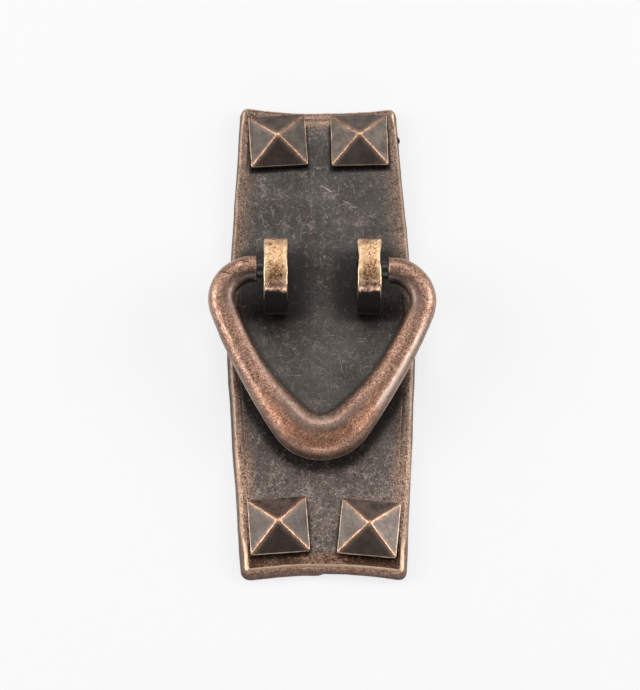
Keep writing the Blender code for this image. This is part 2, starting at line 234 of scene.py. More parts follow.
def cylinder(radius, low, high):
    return turned([(radius, low), (radius, high)])


def combine(made, tools, operation, sharpDeg=35):
    # cuts the tools out of a piece, or joins them to it, for good
    for tool in tools:
        change = made.modifiers.new(operation, "BOOLEAN")
        change.operation = operation
        change.solver = "EXACT"
        change.object = tool
    graph = bpy.context.evaluated_depsgraph_get()
    data = bpy.data.meshes.new_from_object(
        made.evaluated_get(graph), preserve_all_data_layers=True, depsgraph=graph)
    made.modifiers.clear()
    made.data = data
    data.shade_smooth()
    data.set_sharp_from_angle(angle=math.radians(sharpDeg))
    for tool in tools:
        bpy.data.objects.remove(tool)


def dress(made, place, material, body, node):
    spot = made.data.attributes.new("spot", "FLOAT_VECTOR", "POINT")
    for vert, item in zip(made.data.vertices, spot.data):
        item.vector = vert.co / mm
    made.data.transform(place)
    made.data.materials.clear()
    made.data.materials.append(material)
    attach(made, body)
    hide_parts(node)


def moved(x, y, z=0.0, turnDeg=0.0):
    return Matrix.Translation(Vector((x, y, z)) * mm) @ Matrix.Rotation(math.radians(turnDeg), 4, "Z")


# backplate

plate = {
    "length": 115.0, "midWidth": 42.0, "endWidth": 35.5, "thickness": 3.0,
    "endHollow": 1.35, "endSlant": 0.3, "middleSoftening": 6.0, "cornerRadius": 1.7,
    "waver": 0.16, "waveLength": 11.0, "draft": 0.15, "leftFlare": 0.3, "flareStart": 20.0, "baseChamfer": 0.25,
    "rimRadius": 1.5, "bandWidth": 0.5, "slopeWidth": 0.5, "fieldDrop": 0.15,
    # the field's hammer marks
    "dentDepth": 0.22, "dentLength": 8.5, "dentLevel": 0.0003, "dentStart": 2.4, "dentEase": 2.0,
    "fineDents": [(3.1, 0.05), (1.3, 0.025)], "rimDents": [(2.4, 0.08), (0.9, 0.045)], "rimReach": 2.6,
    "nub": {"at": 49.5, "halfLength": 0.5, "proud": 0.4},
    "footStep": {"middle": -0.7, "depth": 0.22, "run": 0.4, "fromY": 50.0, "halfSpan": 17.0},
    "lowTop": 1.9, "lowFade": 0.5,  # the nub and the foot's step stay below this height
    "scratches": [((0.5, 37.2, 2.8, 35.5), 1.4), ((5.4, 33.4, 8.5, 31.6), 0.6)],  # ends, strength
    "ringSteps": (7, 8, 4, 3),  # wall, rim, band and slope
    "sideSteps": 220, "endSteps": 66, "cornerSteps": 8,
    "shadowAndOil": {  # painted shadow and dark oil: how far they reach from the bail, the studs and the posts; the shifts set it off the way a cast shadow falls
        "bailShift": 0.9, "bailStart": 0.5, "bailFade": 2.2, "studShift": 0.5, "studFade": 1.0,
        "postStart": 1.2, "postFade": (7.5, 12.0), "postSpan": (-6.5, -3.5, 8.0, 14.0),
        "behind": 1.7, "inFront": 2.8,
    },
    "colours": {
        "oilDark": (0.068, 0.063, 0.057), "oilPale": (0.112, 0.103, 0.094), "lowerBrown": (0.118, 0.088, 0.07),
        "cloud": (0.04, 0.034, 0.03), "blot": (0.145, 0.116, 0.1), "pore": (0.026, 0.02, 0.017),
        "rich": (0.24, 0.16, 0.125), "spark": (0.46, 0.33, 0.27), "brightSpark": (0.76, 0.59, 0.5),
        "scratch": (0.63, 0.53, 0.47), "haze": (0.32, 0.29, 0.27), "redBrown": (0.33, 0.18, 0.115),
        "flankSpark": (0.66, 0.47, 0.35), "shadowAndOil": (0.018, 0.015, 0.013), "footShadeAndPatina": (0.06, 0.022, 0.01),
        "footSpeck": (0.56, 0.33, 0.22), "bandDark": (0.12, 0.056, 0.036), "bandCopper": (0.58, 0.39, 0.29),
        "bandTop": (0.56, 0.39, 0.31), "crestDark": (0.3, 0.15, 0.08), "crestCopper": (0.85, 0.57, 0.39),
        "cornerGold": (1.0, 0.74, 0.42), "browDark": (0.12, 0.052, 0.034), "browCopper": (0.42, 0.25, 0.19),
        "glint": (1.0, 0.7, 0.48), "wallDark": (0.036, 0.024, 0.021), "wallBrown": (0.15, 0.095, 0.08),
        "wallPale": (0.33, 0.25, 0.205), "wallFoot": (0.24, 0.132, 0.108), "nub": (0.01, 0.007, 0.006),
    },
}

seatGap = 0.3
headBase = plate["thickness"] + seatGap
cutStart, cutPast = -1.0, 5.0  # a cut begins below the back and runs past what it cuts


def softened(y):
    return math.hypot(y, plate["middleSoftening"]) - plate["middleSoftening"]


def halfWidth(y):
    way = softened(y) / softened(plate["length"] / 2)
    return plate["midWidth"] / 2 - (plate["midWidth"] - plate["endWidth"]) / 2 * way


def halfLength(x):
    return plate["length"] / 2 - plate["endHollow"] * (1 - (2 * x / plate["endWidth"]) ** 2)


def slope(curve, at, nudge=0.01):
    return (curve(at + nudge) - curve(at - nudge)) / (2 * nudge)


def cornerArc(inset):
    x, y = plate["endWidth"] / 2, plate["length"] / 2
    for _ in range(6):
        x, y = halfWidth(y) - inset, halfLength(x) - inset
    corner = Vector((x, y))
    down = Vector((-slope(halfWidth, y), -1)).normalized()
    across = Vector((-1, -slope(halfLength, x))).normalized()
    half = down.angle(across) / 2
    radius = max(plate["cornerRadius"] - inset, plate["cornerRadius"] / 5)
    centre = corner + (down + across).normalized() * radius / math.sin(half)
    start = corner + down * radius / math.tan(half) - centre
    steps = plate["cornerSteps"]
    return [centre + Matrix.Rotation((math.pi - 2 * half) * i / steps, 2) @ start for i in range(steps + 1)]


def outline(inset):
    arc = cornerArc(inset)
    side = [arc[0].y * (2 * i / plate["sideSteps"] - 1) for i in range(1, plate["sideSteps"])]
    end = [arc[-1].x * (1 - 2 * i / plate["endSteps"]) for i in range(1, plate["endSteps"])]
    half = [Vector((halfWidth(y) - inset, y)) for y in side] + arc
    half += [Vector((x, halfLength(x) - inset)) for x in end] + [Vector((-p.x, p.y)) for p in reversed(arc)]
    slant = plate["endSlant"] * 2 / plate["endWidth"]
    return [Vector((p.x, p.y - slant * p.x)) for p in half + [-p for p in half]]


def outward(points):
    along = [points[(i + 1) % len(points)] - points[i - 1] for i in range(len(points))]
    return [Vector((a.y, -a.x)).normalized() for a in along]


def edgeShift(point, height):
    # slow waver of the edge, the small cast nub on the right and the low step in the foot
    shift = plate["waver"] * noise.noise(Vector((point.x, point.y, 0)) / plate["waveLength"])
    low = clamped((plate["lowTop"] - height) / plate["lowFade"])
    nub, step = plate["nub"], plate["footStep"]
    if point.x > 0:
        shift += nub["proud"] * math.exp(-((point.y - nub["at"]) / nub["halfLength"]) ** 4) * low
    if point.y < -step["fromY"] and abs(point.x) < step["halfSpan"]:
        fall = step["depth"] * math.tanh((point.x - step["middle"]) / step["run"])
        shift -= fall * (1 - (point.x / step["halfSpan"]) ** 2) * low
    return shift


def baseSpread(point):
    down = clamped((plate["flareStart"] - point.y) / (plate["length"] / 2))
    left = clamped(-point.x / (plate["endWidth"] / 2))
    return plate["draft"] + plate["leftFlare"] * down * left ** 2


def plateRing(inset, height, spread=0):
    points = outline(inset)
    ring = []
    for point, normal in zip(points, outward(points)):
        out = edgeShift(point, height) + baseSpread(point) * spread
        if height == 0:
            out -= plate["baseChamfer"]
        place = point + normal * out
        ring.append(((*place, height), (inset, shadowAndOilShare(*place))))
    return ring


def plateRings():
    top, radius = plate["thickness"], plate["rimRadius"]
    low, high = plate["baseChamfer"], top - radius
    walls, rims, bands, slopes = plate["ringSteps"]
    rings = [plateRing(0, 0, 1)]
    for i in range(walls):
        rings.append(plateRing(0, low + (high - low) * i / walls, 1 - i / walls))
    for i in range(rims + 1):
        angle = math.pi / 2 * i / rims
        rings.append(plateRing(radius * (1 - math.cos(angle)), top - radius * (1 - math.sin(angle))))
    for i in range(1, bands + 1):
        rings.append(plateRing(radius + plate["bandWidth"] * i / bands, top))
    for i in range(1, slopes + 1):
        inset = radius + plate["bandWidth"] + plate["slopeWidth"] * i / slopes
        rings.append(plateRing(inset, top - plate["fieldDrop"] * i / slopes))
    return rings


def shadowAndOilShare(x, y):
    # 1 beside the bail, the studs and the posts, fading away from them: painted shadow, set off the way a cast
    # shadow falls, with dark oil where no polishing reaches
    shadowAndOil = plate["shadowAndOil"]
    _, index, gap = bailTrace.find((x, y - shadowAndOil["bailShift"], 0))
    dark = [1 - clamped((gap - bailHalves[index] - shadowAndOil["bailStart"]) / shadowAndOil["bailFade"])]
    for atX, atY, turnDeg, *_ in studs["rows"].values():
        off = Vector((x - atX, y - atY + shadowAndOil["studShift"]))
        u, v = Matrix.Rotation(math.radians(-turnDeg), 2) @ off
        dark.append(1 - clamped((max(abs(u), abs(v)) - studs["side"] / 2) / shadowAndOil["studFade"]))
    near, wide = shadowAndOil["postFade"]
    start, full, ebb, end = shadowAndOil["postSpan"]
    for side in (-1, 1):
        u, v = (Vector((x, y, 0)) - postPlace(side).translation / mm)[:2]
        across = max(abs(u) - posts["thickness"] / 2, 0)
        along = max(abs(v) - posts["depth"] / 2, 0) * shadowAndOil["behind" if v > 0 else "inFront"]
        fade = near + (wide - near) * clamped((v - start) / (full - start)) * clamped((end - v) / (end - ebb))
        dark.append(1 - max(math.hypot(across, along) - shadowAndOil["postStart"], 0) / fade)
    return max(dark)


def hammered(x, y):
    value = noise.noise(Vector((x, y, plate["dentLevel"])) / plate["dentLength"])
    return -plate["dentDepth"] * clamped(0.5 + value)


def fillField(mesh):
    # replaces the lid by a grid blended between its four sides, with the hammer marks in it
    mesh.faces.ensure_lookup_table()
    lid = mesh.faces[-1]
    border = list(lid.verts)
    mesh.faces.remove(lid)
    edge, shadowAndOil = mesh.verts.layers.float["edge"], mesh.verts.layers.float["shadowAndOil"]
    corner = plate["cornerSteps"]
    rows, columns, start = plate["sideSteps"] + corner, plate["endSteps"] + corner, -(corner // 2) - 1

    def run(first, steps):
        return [border[(start + first + i) % len(border)] for i in range(steps + 1)]

    right, top = run(0, rows), run(rows, columns)[::-1]
    left, bottom = run(rows + columns, rows)[::-1], run(2 * rows + columns, columns)
    grid = []
    for j in range(rows + 1):
        row = []
        for i in range(columns + 1):
            if i in (0, columns):
                row.append((left if i == 0 else right)[j])
                continue
            if j in (0, rows):
                row.append((bottom if j == 0 else top)[i])
                continue
            s, t = i / columns, j / rows
            sides = left[j].co.lerp(right[j].co, s) + bottom[i].co.lerp(top[i].co, t)
            corners = left[0].co.lerp(right[0].co, s).lerp(left[rows].co.lerp(right[rows].co, s), t)
            point = sides - corners
            x, y = point.x / mm, point.y / mm
            depth = min(halfWidth(y) - abs(x), halfLength(x) - abs(y))
            into = clamped((depth - plate["dentStart"]) / plate["dentEase"])
            point.z += hammered(x, y) * into * mm
            vert = mesh.verts.new(point)
            vert[edge], vert[shadowAndOil] = depth, shadowAndOilShare(x, y)
            row.append(vert)
        grid.append(row)
    for low, high in zip(grid, grid[1:]):
        for i in range(columns):
            mesh.faces.new((low[i], low[i + 1], high[i + 1], high[i]))


def platePaint():
    paint = metalPaint("darkBronzePlate", 1.7, plate["colours"])
    edge = paint.mark("edge")
    x, y, z = [paint.part(paint.spot, axis) for axis in "XYZ"]
    mottle = paint.noise(0.09, 4, 0.62, 1)
    patch = paint.noise(0.27, 4, 0.68, 2)
    blot = paint.noise(0.7, 3, 0.65, 12)
    grain = paint.noise(1.4, 4, 0.7, 3)
    dust = paint.noise(2.6, 3, 0.7, 4)
    tooth = paint.noise(4.6, 2, 0.6, 5)
    fine = grain * 0.4 + dust * 0.6
    ends = abs(y).step(36.0, 52.0)
    top, lower = y.step(44.0, 50.0), (-1 * y).step(20.0, 34.0)
    foot = (-1 * y).step(47.0, 52.0)
    between = y.step(47.0, 54.0) * abs(x).fall(3.0, 6.5)
    # where more copper shows through
    rich = (patch + 0.04 * ends + 0.22 * between + 0.11 * lower).step(0.51, 0.68)
    web = paint.hairlines(2.4, 0.11, 6) * paint.noise(0.8, 2, 0.5, 7).step(0.5, 0.58)
    net = paint.hairlines(1.15, 0.12, 13, 1.3) * (blot + (rich - 0.5) * 0.12).step(0.46, 0.6)
    lines = paint.most(web * 0.9, net * (0.35 + 0.65 * rich)) * tooth.step(0.38, 0.55)
    stray = paint.noise(1.0, 2, 0.5, 8, paint.stretched((0.22, 5.5, 1.0), 37))
    cross = paint.noise(1.0, 2, 0.5, 11, paint.stretched((6.0, 0.25, 1.0), 14))
    stray = paint.most(stray.step(0.66, 0.71), cross.step(0.67, 0.72))
    stray = stray * paint.noise(0.4, 2, 0.5, 9).step(0.5, 0.6)
    for line, strength in plate["scratches"]:
        cut = paint.beside(line).fall(0.05, 0.16)
        stray = paint.most(stray, cut * dust.step(0.38, 0.5) * strength)
    shadowAndOil = (paint.mark("shadowAndOil") + (blot - 0.5) * 0.4).step(0.12, 0.95)
    paint.base = paint.blend(mottle.step(0.38, 0.62), "oilDark", "oilPale")
    paint.lay(lower * 0.5, "lowerBrown")
    cloud = paint.noise(0.42, 2, 0.5, 14).fall(0.4, 0.54)
    paint.lay(cloud * 0.3, "cloud")
    paint.lay(blot.step(0.5, 0.66) * (0.35 + 0.15 * lower), "blot")
    paint.lay(fine.fall(0.38, 0.5) * (0.6 + 0.25 * lower), "pore")
    paint.lay(rich * grain.step(0.4, 0.58) * (0.28 + 0.2 * lower), "rich")
    spark = 0.12 + 0.26 * lower + 0.5 * rich
    paint.lay(fine.step(0.52, 0.59) * spark, "spark")
    paint.lay(tooth.step(0.58, 0.68) * spark, "brightSpark")
    paint.lay(paint.most(lines * (0.55 + 0.25 * lower), stray * 0.7), "scratch")
    paint.lay((-1 * y).step(-4.0, 4.0) * 0.08, "haze")
    # red brown and copper mottling that starts at the rim and dies away towards the middle
    flank = (edge + (patch - 0.5) * 6.0).fall(2.2, 5.5)
    warm = flank * (0.38 + 0.37 * lower) * fine.step(0.4, 0.56)
    paint.lay(warm, "redBrown")
    warm = flank * (0.3 + 0.4 * lower) * (tooth + (dust - 0.5) * 0.5).step(0.52, 0.66)
    paint.lay(warm, "flankSpark")
    # painted shadow beside the bail, below the studs and around the posts, with dark oil
    paint.lay(shadowAndOil * (0.9 - 0.12 * lower - 0.3 * paint.most(lines, stray)), "shadowAndOil")
    # painted shade below the bottom studs: the dark strip inside the foot's rim, over dark red-brown patina
    strip = foot * edge.fall(3.0, 5.0)
    paint.lay(strip * 0.9, "footShadeAndPatina")
    speck = (fine + 0.08 * abs(x).fall(3.0, 7.0)).step(0.53, 0.62)
    paint.lay(strip * speck * 0.65, "footSpeck")
    # copper strip inside the rim, full between the top studs, then the worn rim itself and the walls
    left = x.fall(-2.0, 2.0)
    band = 0.28 + (0.36 + 0.22 * left) * lower - 0.85 * foot + 0.25 * top + 0.45 * between + (patch - 0.5) * 1.2
    inside, outside = 1.5 + 1.2 * top + 0.8 * lower, 2.9 + 1.9 * top + 0.8 * lower
    band = band * (edge + (blot - 0.5) * 2.0).fall(inside, outside)
    copper = paint.blend((dust + (tooth - 0.5) * 0.6).step(0.42, 0.57), "bandDark", "bandCopper")
    copper = paint.blend(between * 0.3, copper, "bandTop")
    paint.lay(band, copper)
    corner = abs(x).step(14.5, 17.0) * abs(y).step(51.5, 55.0)
    reach = edge - 0.24 * foot - 0.35 * corner * (1 - foot) + (0.18 * lower - 0.1 * left) * (1 - foot)
    crest = (reach + (grain - 0.5) * 0.3).step(0.06, 0.3 + 0.52 * foot)
    crest = crest * (reach + (fine - 0.5) * 1.2).fall(0.42 + 0.62 * foot, 0.8 + 0.44 * foot)
    strength = 0.5 + (0.24 + 0.2 * left) * lower + 0.25 * (patch - 0.5)
    crest = crest * (strength + 0.26 * ends * (1 - lower) + 0.35 * corner)
    crest = crest * (1 - (0.58 - 0.4 * left) * (-1 * y).step(33.0, 42.0) * (1 - foot))
    shine = paint.blend((dust + (tooth - 0.5) * 0.5).step(0.36, 0.52), "crestDark", "crestCopper")
    shine = paint.blend(corner * 0.5, shine, "cornerGold")
    brow = paint.blend(fine.step(0.42, 0.58), "browDark", "browCopper")
    paint.lay(foot * edge.fall(1.2, 1.5) * 0.9, brow)  # copper under the foot's rim
    paint.lay(crest, shine)
    rough = edge + (grain - 0.5) * 0.3
    glint = foot * rough.step(0.78, 1.05) * rough.fall(1.36, 1.54)
    paint.lay(glint * (0.95 + 0.9 * (patch - 0.5)), "glint")
    wall = (edge + (grain - 0.5) * 0.15).fall(0.02 - 0.06 * lower, 0.2 + 0.17 * foot - 0.08 * lower)
    side = paint.blend((fine - 0.05 * lower).step(0.4, 0.6), "wallDark", "wallBrown")
    side = paint.blend(lower * (1 - foot) * 0.4, side, "wallPale")
    side = paint.blend(foot * (0.06 + 0.34 * z.step(0.4, 2.2)), side, "wallFoot")
    paint.lay(wall * (0.92 - 0.2 * foot), side)
    nub = x.step(17.6, 17.9) * abs(y - plate["nub"]["at"]).fall(0.5, 0.8) * wall
    paint.lay(nub, "nub")
    share = paint.most(band * 0.6, crest)
    metallic = 0.66 + 0.32 * share
    roughness = 0.47 - 0.1 * share + (dust - 0.5) * 0.35
    height = 0.05 * paint.noise(0.55, 3, 0.55, 10) + 0.05 * grain + 0.04 * dust + 0.016 * tooth - 0.02 * lines
    return paint.metal(metallic, roughness, height)


def makePlate():
    mesh = loft(plateRings(), ("edge", "shadowAndOil"))
    fillField(mesh)
    edge = mesh.verts.layers.float["edge"]
    wear(mesh, plate["fineDents"], 5.0, lambda vert: vert.co.z > 0.2 * mm)
    wear(mesh, plate["rimDents"], 9.0, lambda vert: vert[edge] < plate["rimReach"] and vert.co.z > mm)
    made = piece(mesh, "plateShown")
    tools = []
    hole, mouth = studs["shankRadius"] + studs["clearance"], studs["tailRadius"] + studs["clearance"]
    depth = studs["tailDepth"]
    for x, y, *_ in studs["rows"].values():
        tool = piece(turned([(2 * mouth - hole, -depth), (hole, depth), (hole, cutPast)], 32), "studCut")
        tool.matrix_world = moved(x, y)
        tools.append(tool)
    for side in (-1, 1):
        tool = piece(cylinder(posts["tenonRadius"] + posts["tenonFit"], cutStart, cutPast), "tenonCut")
        tool.matrix_world = postPlace(side)
        tools.append(tool)
    bpy.context.view_layer.update()
    combine(made, tools, "DIFFERENCE")
    dress(made, Matrix.Identity(4), platePaint(), "plate", "backplate")
    print("backplate", len(made.data.polygons), "faces")


# studs

studs = {
    "side": 13.03, "wall": 0.9, "point": 3.2, "apexSide": 0.6, "ridgeRadius": 0.24, "sag": 0.08,
    "shankRadius": 1.5, "tailRadius": 2.4, "tailDepth": 0.9, "clearance": 0.3,
    "dents": [(1.9, 0.05), (0.7, 0.03)], "sideSteps": 10, "cornerSteps": 3, "ringSteps": 14,
    "rows": {  # x, y, turn in degrees, how much darker, how much copper on the face turned away
        "stud_top_left": (-9.3, 48.1, 3.0, 0.65, 0.3), "stud_top_right": (9.3, 48.1, 0.8, 0.05, 0.5),
        "stud_bottom_left": (-9.9, -46.0, 3.6, 1.0, 1.3), "stud_bottom_right": (9.9, -46.8, -6.2, 0.2, 1.4),
    },
    "colours": {
        "dark": (0.122, 0.094, 0.079), "pale": (0.204, 0.168, 0.143), "greenish": (0.15, 0.144, 0.12),
        "deep": (0.062, 0.05, 0.043), "fleck": (0.066, 0.05, 0.042), "dust": (0.28, 0.22, 0.185),
        "frontFaceShade": (0.058, 0.036, 0.03), "rearFace": (0.29, 0.2, 0.165), "halo": (0.33, 0.19, 0.14),
        "ridgeDark": (0.33, 0.165, 0.105), "ridgeCopper": (0.83, 0.56, 0.39), "lip": (0.9, 0.67, 0.51),
        "apex": (0.9, 0.52, 0.29), "wall": (0.03, 0.023, 0.02),
    },
}


def roundSquare(side, height, radius, sag=0.0):
    # four sides with small rounded corners; sag lowers the middle of each side
    radius = min(radius, side * 0.45)
    half, steps = side / 2 - radius, studs["sideSteps"]
    ring = []
    for turn in range(4):
        spin = Matrix.Rotation(turn * math.pi / 2, 2)
        for i in range(steps):
            t = 2 * i / steps - 1
            place = spin @ Vector((half + radius, half * t))
            ring.append(((*place, height - sag * (1 - t * t)), ()))
        for i in range(studs["cornerSteps"]):
            angle = math.pi / 2 * i / studs["cornerSteps"]
            place = spin @ Vector((half + radius * math.cos(angle), half + radius * math.sin(angle)))
            ring.append(((*place, height), ()))
    return ring


def roundRing(radius, height):
    # a circle with the same number of points as roundSquare
    square = roundSquare(2 * radius, height, 0.3 * radius)
    return [((*(Vector(p[:2]).normalized() * radius), height), ()) for p, _ in square]


def studMesh():
    eave = headBase + studs["wall"]
    side, radius = studs["side"], studs["ridgeRadius"]
    rings = [
        roundRing(studs["tailRadius"], 0), roundRing(studs["shankRadius"], studs["tailDepth"]),
        roundRing(studs["shankRadius"], headBase), roundSquare(side, headBase, 2 * radius),
        roundSquare(side, headBase + 0.5 * studs["wall"], 2 * radius),
    ]
    for turn in (0.15, 0.5, 0.85):
        angle = math.pi / 2 * turn
        wide, high = side - 2 * radius * (1 - math.cos(angle)), eave - radius * (1 - math.sin(angle))
        rings.append(roundSquare(wide, high, 2 * radius))
    for i in range(1, studs["ringSteps"] + 1):
        t = i / studs["ringSteps"]
        wide = side - 2 * radius - (side - 2 * radius - studs["apexSide"]) * t
        rings.append(roundSquare(wide, eave + studs["point"] * t, radius, studs["sag"] * math.sin(math.pi * t)))
    return loft(rings, ())


def studPaint(name, seed, depth, rear):
    paint = metalPaint(name, seed, studs["colours"])
    x, y, z = [paint.part(paint.spot, axis) for axis in "XYZ"]
    a, b = abs(x), abs(y)
    grain = paint.noise(1.7, 4, 0.65, 1)
    patch = paint.noise(0.45, 3, 0.6, 2)
    dust = paint.noise(3.4, 2, 0.6, 3)
    tint = paint.noise(0.28, 2, 0.5, 4)
    eave = headBase + studs["wall"]
    above = z.step(eave - 0.35, eave - 0.1)
    off = abs(a - b)
    reach = paint.most(a, b)
    loose = (grain - 0.5) * 0.8 + (patch - 0.5) * 0.5
    ridge = (off + loose).fall(0.12, 0.7) * above * (1 - 0.45 * y.step(1.5, 5.5))
    halo = (off + loose * 2.4).fall(0.2, 1.7) * above
    apex = (reach + loose).fall(0.35, 1.1)
    lip = (reach + loose * 0.3).step(studs["side"] / 2 - 0.26, studs["side"] / 2 - 0.08) * above
    lip = lip * z.fall(eave + 0.05, eave + 0.2)
    corner = (paint.least(a, b) + loose).step(5.5, 6.3) * above
    worn = paint.most(ridge * 0.9, apex, lip, corner * 0.8)
    paint.base = paint.blend(patch.step(0.38, 0.64), "dark", "pale")
    paint.lay(tint.step(0.46, 0.62) * 0.35, "greenish")
    paint.lay(depth * 0.6, "deep")
    paint.lay(grain.step(0.54, 0.68) * 0.4, "fleck")
    paint.lay(dust.step(0.56, 0.72) * 0.35, "dust")
    facing = (b - a).step(0.3, 1.2)
    front, back = facing * y.fall(-1.0, 0.0), facing * y.step(0.0, 1.0)
    # painted shade: the faces turned to the front (-Y) are darker
    paint.lay(front * 0.45, "frontFaceShade")
    back = back * (patch + (grain - 0.5) * 0.5).step(0.38, 0.6)
    paint.lay(back * 0.5 * rear, "rearFace")
    paint.lay(halo * (0.3 + 0.55 * dust.step(0.42, 0.58)), "halo")
    shine = paint.blend((dust + (grain - 0.5) * 0.6).step(0.38, 0.58), "ridgeDark", "ridgeCopper")
    shine = paint.blend(lip * 0.7, shine, "lip")
    shine = paint.blend(apex * 0.6, shine, "apex")
    paint.lay(worn, shine)
    paint.lay((1 - above) * 0.9, "wall")
    metallic = 0.72 + 0.25 * worn
    roughness = 0.4 - 0.06 * worn + (grain - 0.5) * 0.28
    height = 0.04 * patch + 0.022 * grain + 0.012 * dust
    return paint.metal(metallic, roughness, height)


def makeStuds():
    for seed, (node, (x, y, turnDeg, *look)) in enumerate(studs["rows"].items()):
        mesh = studMesh()
        wear(mesh, studs["dents"], 3.0 * seed, lambda vert: vert.co.z > (headBase + 0.2) * mm)
        made = piece(mesh, node + "_shown", 28)
        paint = studPaint("smoothBronze" + str(seed), 4.3 * seed, *look)
        dress(made, moved(x, y, 0, turnDeg), paint, "plate", node)
    print("studs", len(studs["rows"]))


# posts

posts = {
    "pivot": (0.4, 11.3, 13.0), "skewDeg": -0.7, "spacing": 20.8,
    "thickness": 5.5, "depth": 13.0, "height": 13.8,
    "dome": 0.7, "frontRadius": 2.4, "rearRadius": 1.0, "chamfer": 0.45, "capInset": 0.35, "crownDip": 0.18,
    "pinch": {"left": 0.08, "right": 0.3}, "pinchLength": 2.4,
    "tenonRadius": 2.4, "tenonFit": 0.04, "tenonRoot": 2.0,
    "screwRadius": 1.65, "screwDepth": 8.0, "pivotRadius": 2.3,
    "dents": [(2.2, 0.12), (0.8, 0.06)], "dentsFrom": 0.8, "crownFrom": 9.0,
    "crownDarkPatch": {"left": 0.36, "right": 0.46},  # strength of the dark patch on the crown
    "wallSteps": 12, "shoulderSteps": 8, "domeSteps": 20, "footSteps": 10, "chamferSteps": 6, "flatSteps": 10,
    "colours": {
        "goldDark": (0.33, 0.15, 0.066), "gold": (0.98, 0.665, 0.38), "drift": (0.56, 0.31, 0.205),
        "pit": (0.13, 0.052, 0.028), "crownDarkPatch": (0.17, 0.052, 0.018), "pinkDark": (0.19, 0.08, 0.058),
        "pink": (0.76, 0.47, 0.36), "edge": (1.0, 0.72, 0.45), "black": (0.04, 0.036, 0.035),
        "brown": (0.12, 0.078, 0.058), "bore": (0.012, 0.011, 0.01), "hem": (0.14, 0.13, 0.125),
        "sole": (0.3, 0.26, 0.24),
    },
}


def pivotPlace():
    x, y, _ = posts["pivot"]
    return moved(x, y, 0, posts["skewDeg"])


def postPlace(side):
    return pivotPlace() @ moved(side * posts["spacing"] / 2, 0)


def shoulderArc(half, radius, height, foot):
    start = height - radius
    walls, arcs = posts["wallSteps"], posts["shoulderSteps"]
    points = [(half, foot + (start - foot) * i / walls) for i in range(walls + 1)]
    for i in range(1, arcs + 1):
        angle = math.pi / 2 * i / arcs
        points.append((half - radius * (1 - math.cos(angle)), start + radius * math.sin(angle)))
    return points


def postOutline(inset, dip):
    # side view in Y and Z from the front foot round to the front shoulder
    half, crown = posts["depth"] / 2 - inset, posts["height"] - inset - posts["dome"]
    rear = shoulderArc(half, posts["rearRadius"], crown, inset)
    front = [(-y, z) for y, z in reversed(shoulderArc(half, posts["frontRadius"], crown, inset)[1:])]
    start, end = rear[-1][0], front[0][0]
    dome = []
    for i in range(1, posts["domeSteps"]):
        share = i / posts["domeSteps"]
        dome.append((start + (end - start) * share, crown + (posts["dome"] - dip) * 4 * share * (1 - share)))
    steps = posts["footSteps"]
    return [(-half + 2 * half * i / steps, inset) for i in range(steps)] + rear + dome + front


def postMesh(pinch):
    half, chamfer = posts["thickness"] / 2, posts["chamfer"]
    flat, steps = half - chamfer, posts["flatSteps"]
    slices = [(-half, chamfer + posts["capInset"], 0)]  # place across, inset, mark of the edge
    for i in range(posts["chamferSteps"] + 1):
        angle = math.pi / 2 * i / posts["chamferSteps"]
        inset = chamfer * (1 - math.sin(angle))
        slices.append((-half + chamfer * (1 - math.cos(angle)), inset, math.sin(2 * angle)))
    mirrored = [(-x, inset, mark) for x, inset, mark in reversed(slices)]
    slices += [(flat * (2 * i / steps - 1), 0, 0) for i in range(1, steps)] + mirrored
    rings = []
    for x, inset, mark in slices:
        dip = posts["crownDip"] * max(1 - (x / flat) ** 2, 0)
        ring = []
        for y, z in postOutline(inset, dip):
            waist = pinch * math.exp(-((y - posts["pinchLength"] / 2) / posts["pinchLength"]) ** 2)
            ring.append(((x * (1 - waist / half), y, z + headBase), (mark, 0)))
        rings.append(ring)
    return loft(rings, ("edge", "crown"))


